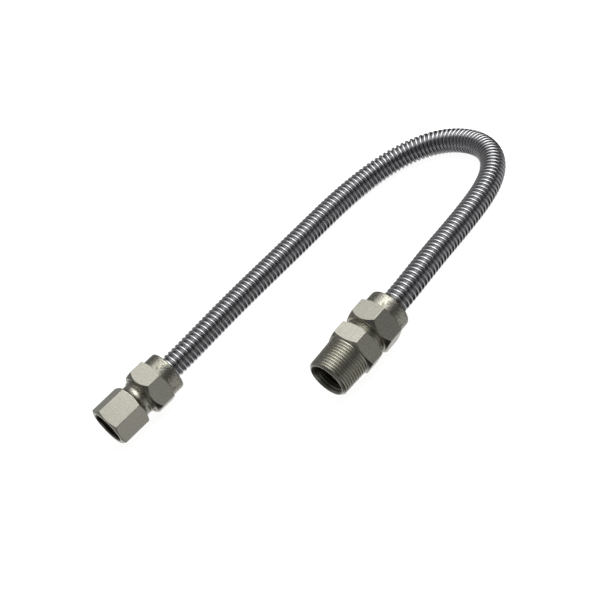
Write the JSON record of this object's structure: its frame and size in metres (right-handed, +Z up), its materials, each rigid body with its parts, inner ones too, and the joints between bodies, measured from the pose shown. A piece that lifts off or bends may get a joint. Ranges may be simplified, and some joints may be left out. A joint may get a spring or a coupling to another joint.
{
  "type": "corrugated stainless steel hose",
  "caption": "Bent corrugated metal connector hose with a flare nut at each end, one carrying a female pipe adapter and the other a male pipe adapter.",
  "frame": {"origin": "middle of the hose's footprint, on the surface it lies on", "axes": "+X the way the female socket faces, +Y from the female leg towards the male leg, +Z up"},
  "size_m": [0.3002, 0.15, 0.0326],
  "materials": {
    "tube": "bright stainless steel, rolled and corrugated",
    "fitting": "satin plated steel"
  },
  "bodies": {
    "hose": {"corrugated_tube": "tube"},
    "female_nut": {"female_end_flare_nut": "fitting"},
    "female_adapter": {"female_pipe_adapter": "fitting"},
    "male_nut": {"male_end_flare_nut": "fitting"},
    "male_adapter": {"male_pipe_adapter": "fitting"}
  },
  "joints": [
    {"name": "female_nut_turn", "type": "hinge", "parent": "hose", "child": "female_nut", "pos_m": [0.1076, -0.0527, 0.0163], "axis": [-1, 0, 0], "range_deg": [0, 2160]},
    {"name": "female_adapter_screw", "type": "slide", "parent": "hose", "child": "female_adapter", "axis": [1, 0, 0], "range_m": [0, 0.00953]},
    {"name": "male_nut_turn", "type": "hinge", "parent": "hose", "child": "male_nut", "pos_m": [0.0095, 0.0567, 0.016], "axis": [-0.9962, -0.0872, 0], "range_deg": [0, 2160]},
    {"name": "male_adapter_screw", "type": "slide", "parent": "hose", "child": "male_adapter", "axis": [0.9962, 0.0872, 0], "range_m": [0, 0.00953]}
  ],
  "couplings": [
    {"joint": "female_nut_turn", "follows": "female_adapter_screw", "rad_per_m": 3957.9},
    {"joint": "male_nut_turn", "follows": "male_adapter_screw", "rad_per_m": 3957.9}
  ]
}
